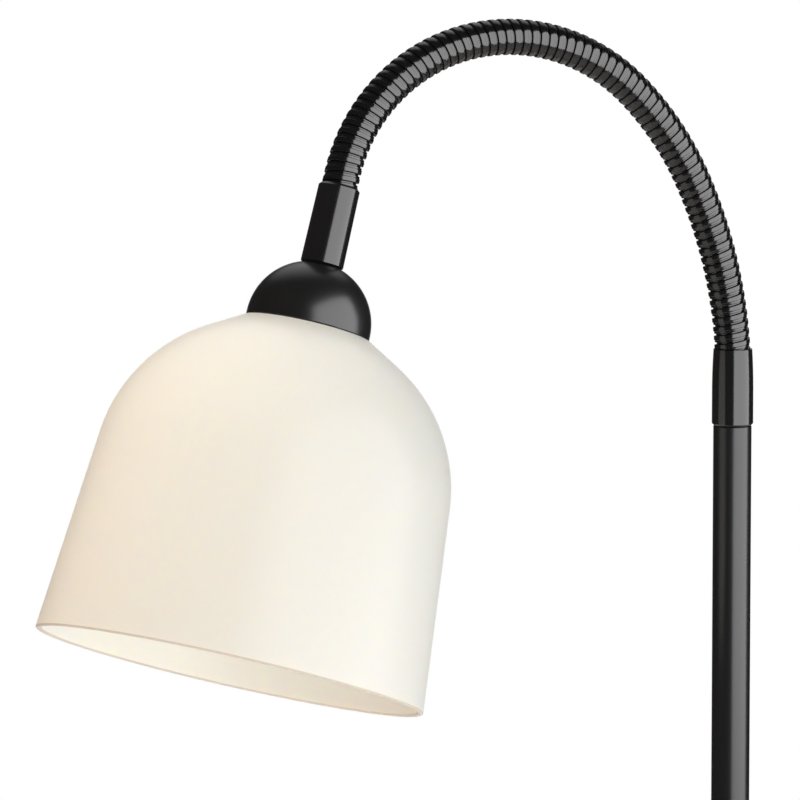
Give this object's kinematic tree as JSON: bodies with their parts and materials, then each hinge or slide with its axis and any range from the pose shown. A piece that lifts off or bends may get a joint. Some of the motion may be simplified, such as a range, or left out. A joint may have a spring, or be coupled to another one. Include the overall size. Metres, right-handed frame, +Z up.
{
  "type": "floor lamp",
  "caption": "Floor lamp with a round weighted base, slim pole, flexible ribbed neck and a hanging bell-shaped opal glass shade.",
  "frame": {"origin": "on the floor under the axis of the pole, at the centre of the base's underside", "axes": "+Z up along the pole; the neck leans over towards -X and its head end curls a little towards -Y"},
  "size_m": [0.4263, 0.2516, 1.4016],
  "materials": {
    "black_paint": "satin black paint",
    "black_collar": "gloss black paint",
    "neck_strip": "gloss black paint on wound steel strip",
    "opal_glass": "glossy opal glass",
    "floor_pad": "matt foam rubber",
    "cast_weight": "raw casting",
    "zinc_steel": "zinc plated",
    "black_moulding": "moulded thermoplastic",
    "white_insert": "moulded thermoset",
    "brass_contact": "bright brass",
    "bulb_metal": "bright nickel",
    "bulb_white": "white moulded",
    "bulb_glass": "frosted white"
  },
  "bodies": {
    "stand": {"base_pad": "floor_pad", "base_weight": "cast_weight", "base_cover": "black_paint", "cord_bushing": "black_moulding", "base_washer": "zinc_steel", "base_nut": "zinc_steel", "base_stud": "zinc_steel", "pole_foot_ring": "black_paint", "pole_foot_bush": "zinc_steel", "lower_pole": "black_paint", "pole_joint_lower_bush": "zinc_steel", "pole_joint_stud": "zinc_steel", "pole_joint_upper_bush": "zinc_steel", "upper_pole": "black_paint", "pole_top_bush": "zinc_steel", "neck_stud": "zinc_steel", "lower_collar": "black_collar", "neck_link_01": "neck_strip"},
    "neck_part_02": {"neck_link_02": "neck_strip"},
    "neck_part_03": {"neck_link_03": "neck_strip"},
    "neck_part_04": {"neck_link_04": "neck_strip"},
    "neck_part_05": {"neck_link_05": "neck_strip"},
    "neck_part_06": {"neck_link_06": "neck_strip"},
    "neck_part_07": {"neck_link_07": "neck_strip"},
    "neck_part_08": {"neck_link_08": "neck_strip"},
    "neck_part_09": {"neck_link_09": "neck_strip"},
    "neck_part_10": {"neck_link_10": "neck_strip"},
    "neck_part_11": {"neck_link_11": "neck_strip"},
    "neck_part_12": {"neck_link_12": "neck_strip"},
    "neck_part_13": {"neck_link_13": "neck_strip"},
    "neck_part_14": {"neck_link_14": "neck_strip"},
    "neck_part_15": {"neck_link_15": "neck_strip"},
    "neck_part_16": {"neck_link_16": "neck_strip"},
    "neck_part_17": {"neck_link_17": "neck_strip"},
    "neck_part_18": {"neck_link_18": "neck_strip"},
    "neck_part_19": {"neck_link_19": "neck_strip"},
    "neck_part_20": {"neck_link_20": "neck_strip"},
    "neck_part_21": {"neck_link_21": "neck_strip"},
    "neck_part_22": {"neck_link_22": "neck_strip"},
    "neck_part_23": {"neck_link_23": "neck_strip"},
    "neck_part_24": {"neck_link_24": "neck_strip"},
    "head": {"neck_link_25": "neck_strip", "upper_collar": "black_collar", "head_stud": "zinc_steel", "cap": "black_paint", "cap_washer": "zinc_steel", "cap_nut": "zinc_steel", "glass_shade": "opal_glass", "holder_cover": "black_moulding", "holder_skirt": "black_moulding", "shade_ring": "black_moulding", "holder_insert": "white_insert", "terminal_screws": "brass_contact", "screw_shell": "brass_contact", "centre_contact": "brass_contact", "bulb_contact": "brass_contact", "bulb_cap": "bulb_metal", "bulb_housing": "bulb_white", "bulb_globe": "bulb_glass"}
  },
  "joints": [
    {"name": "neck_bend", "type": "hinge", "parent": "stand", "child": "neck_part_02", "pos_m": [-0.001, 0, 1.27235], "axis": [0, -1, 0], "range_deg": [-3.15, 0.5]},
    {"name": "neck_sway", "type": "hinge", "parent": "neck_part_02", "child": "neck_part_03", "pos_m": [-0.00264, 0, 1.28369], "axis": [0.9853, 0, 0.1707], "range_deg": [-6, 6]},
    {"name": "neck_bend_03", "type": "hinge", "parent": "neck_part_03", "child": "neck_part_04", "pos_m": [-0.00491, 0, 1.29492], "axis": [0, -1, 0], "range_deg": [-3.15, 0.5]},
    {"name": "neck_sway_04", "type": "hinge", "parent": "neck_part_04", "child": "neck_part_05", "pos_m": [-0.00781, 0, 1.30601], "axis": [0.96, 0, 0.2801], "range_deg": [-6, 6]},
    {"name": "neck_bend_05", "type": "hinge", "parent": "neck_part_05", "child": "neck_part_06", "pos_m": [-0.01133, 0, 1.31692], "axis": [0, -1, 0], "range_deg": [-3.15, 0.5]},
    {"name": "neck_sway_06", "type": "hinge", "parent": "neck_part_06", "child": "neck_part_07", "pos_m": [-0.01545, 0, 1.32761], "axis": [0.9225, 0, 0.386], "range_deg": [-6, 6]},
    {"name": "neck_bend_07", "type": "hinge", "parent": "neck_part_07", "child": "neck_part_08", "pos_m": [-0.02017, 0, 1.33806], "axis": [0, -1, 0], "range_deg": [-4.9, 0.78]},
    {"name": "neck_sway_08", "type": "hinge", "parent": "neck_part_08", "child": "neck_part_09", "pos_m": [-0.02578, 0, 1.34805], "axis": [0.8497, 0, 0.5273], "range_deg": [-6, 6]},
    {"name": "neck_bend_09", "type": "hinge", "parent": "neck_part_09", "child": "neck_part_10", "pos_m": [-0.03225, 0, 1.35751], "axis": [0, -1, 0], "range_deg": [-4.9, 0.78]},
    {"name": "neck_sway_10", "type": "hinge", "parent": "neck_part_10", "child": "neck_part_11", "pos_m": [-0.03951, 0, 1.36638], "axis": [0.745, 0, 0.6671], "range_deg": [-6, 6]},
    {"name": "neck_bend_11", "type": "hinge", "parent": "neck_part_11", "child": "neck_part_12", "pos_m": [-0.04752, 0, 1.37457], "axis": [0, -1, 0], "range_deg": [-8.25, 1.31]},
    {"name": "neck_bend_12", "type": "hinge", "parent": "neck_part_12", "child": "neck_part_13", "pos_m": [-0.05665, 0, 1.3815], "axis": [0, -1, 0], "range_deg": [-8.25, 1.31]},
    {"name": "neck_bend_13", "type": "hinge", "parent": "neck_part_13", "child": "neck_part_14", "pos_m": [-0.06669, 0, 1.38702], "axis": [0.0113, -0.9999, -0.0052], "range_deg": [-8.25, 1.31]},
    {"name": "neck_bend_14", "type": "hinge", "parent": "neck_part_14", "child": "neck_part_15", "pos_m": [-0.07744, -0.00028, 1.39101], "axis": [0.0353, -0.9993, -0.0121], "range_deg": [-8.25, 1.31]},
    {"name": "neck_bend_15", "type": "hinge", "parent": "neck_part_15", "child": "neck_part_16", "pos_m": [-0.08864, -0.00085, 1.39337], "axis": [0.0599, -0.9981, -0.0154], "range_deg": [-8.25, 1.31]},
    {"name": "neck_bend_16", "type": "hinge", "parent": "neck_part_16", "child": "neck_part_17", "pos_m": [-0.10004, -0.00169, 1.39406], "axis": [0.0848, -0.9963, -0.0151], "range_deg": [-8.25, 1.31]},
    {"name": "neck_bend_17", "type": "hinge", "parent": "neck_part_17", "child": "neck_part_18", "pos_m": [-0.11141, -0.00279, 1.39306], "axis": [0.1093, -0.9939, -0.0111], "range_deg": [-8.25, 1.31]},
    {"name": "neck_bend_18", "type": "hinge", "parent": "neck_part_18", "child": "neck_part_19", "pos_m": [-0.12248, -0.00412, 1.39039], "axis": [0.1329, -0.9911, -0.0036], "range_deg": [-8.25, 1.31]},
    {"name": "neck_bend_19", "type": "hinge", "parent": "neck_part_19", "child": "neck_part_20", "pos_m": [-0.133, -0.00566, 1.38612], "axis": [0.1551, -0.9879, 0.0074], "range_deg": [-8.25, 1.31]},
    {"name": "neck_bend_20", "type": "hinge", "parent": "neck_part_20", "child": "neck_part_21", "pos_m": [-0.14274, -0.00737, 1.38034], "axis": [0.1753, -0.9843, 0.0215], "range_deg": [-8.25, 1.31]},
    {"name": "neck_bend_21", "type": "hinge", "parent": "neck_part_21", "child": "neck_part_22", "pos_m": [-0.15149, -0.00923, 1.37317], "axis": [0.1931, -0.9804, 0.0385], "range_deg": [-8.25, 1.31]},
    {"name": "neck_bend_22", "type": "hinge", "parent": "neck_part_22", "child": "neck_part_23", "pos_m": [-0.15905, -0.0112, 1.36478], "axis": [0.2082, -0.9764, 0.058], "range_deg": [-8.25, 1.31]},
    {"name": "neck_bend_23", "type": "hinge", "parent": "neck_part_23", "child": "neck_part_24", "pos_m": [-0.16525, -0.01323, 1.35536], "axis": [0.2202, -0.9722, 0.0794], "range_deg": [-8.25, 1.31]},
    {"name": "neck_bend_24", "type": "hinge", "parent": "neck_part_24", "child": "head", "pos_m": [-0.16995, -0.01528, 1.34511], "axis": [0.2288, -0.9681, 0.1025], "range_deg": [-8.25, 1.31]}
  ],
  "couplings": [
    {"joint": "neck_bend_03", "follows": "neck_bend", "ratio": 1},
    {"joint": "neck_sway_04", "follows": "neck_sway", "ratio": 1},
    {"joint": "neck_bend_05", "follows": "neck_bend", "ratio": 1},
    {"joint": "neck_sway_06", "follows": "neck_sway", "ratio": 1},
    {"joint": "neck_bend_07", "follows": "neck_bend", "ratio": 1.5558},
    {"joint": "neck_sway_08", "follows": "neck_sway", "ratio": 1},
    {"joint": "neck_bend_09", "follows": "neck_bend", "ratio": 1.5558},
    {"joint": "neck_sway_10", "follows": "neck_sway", "ratio": 1},
    {"joint": "neck_bend_11", "follows": "neck_bend", "ratio": 2.6198},
    {"joint": "neck_bend_12", "follows": "neck_bend", "ratio": 2.6198},
    {"joint": "neck_bend_13", "follows": "neck_bend", "ratio": 2.6198},
    {"joint": "neck_bend_14", "follows": "neck_bend", "ratio": 2.6198},
    {"joint": "neck_bend_15", "follows": "neck_bend", "ratio": 2.6198},
    {"joint": "neck_bend_16", "follows": "neck_bend", "ratio": 2.6198},
    {"joint": "neck_bend_17", "follows": "neck_bend", "ratio": 2.6198},
    {"joint": "neck_bend_18", "follows": "neck_bend", "ratio": 2.6198},
    {"joint": "neck_bend_19", "follows": "neck_bend", "ratio": 2.6198},
    {"joint": "neck_bend_20", "follows": "neck_bend", "ratio": 2.6198},
    {"joint": "neck_bend_21", "follows": "neck_bend", "ratio": 2.6198},
    {"joint": "neck_bend_22", "follows": "neck_bend", "ratio": 2.6198},
    {"joint": "neck_bend_23", "follows": "neck_bend", "ratio": 2.6198},
    {"joint": "neck_bend_24", "follows": "neck_bend", "ratio": 2.6198}
  ]
}
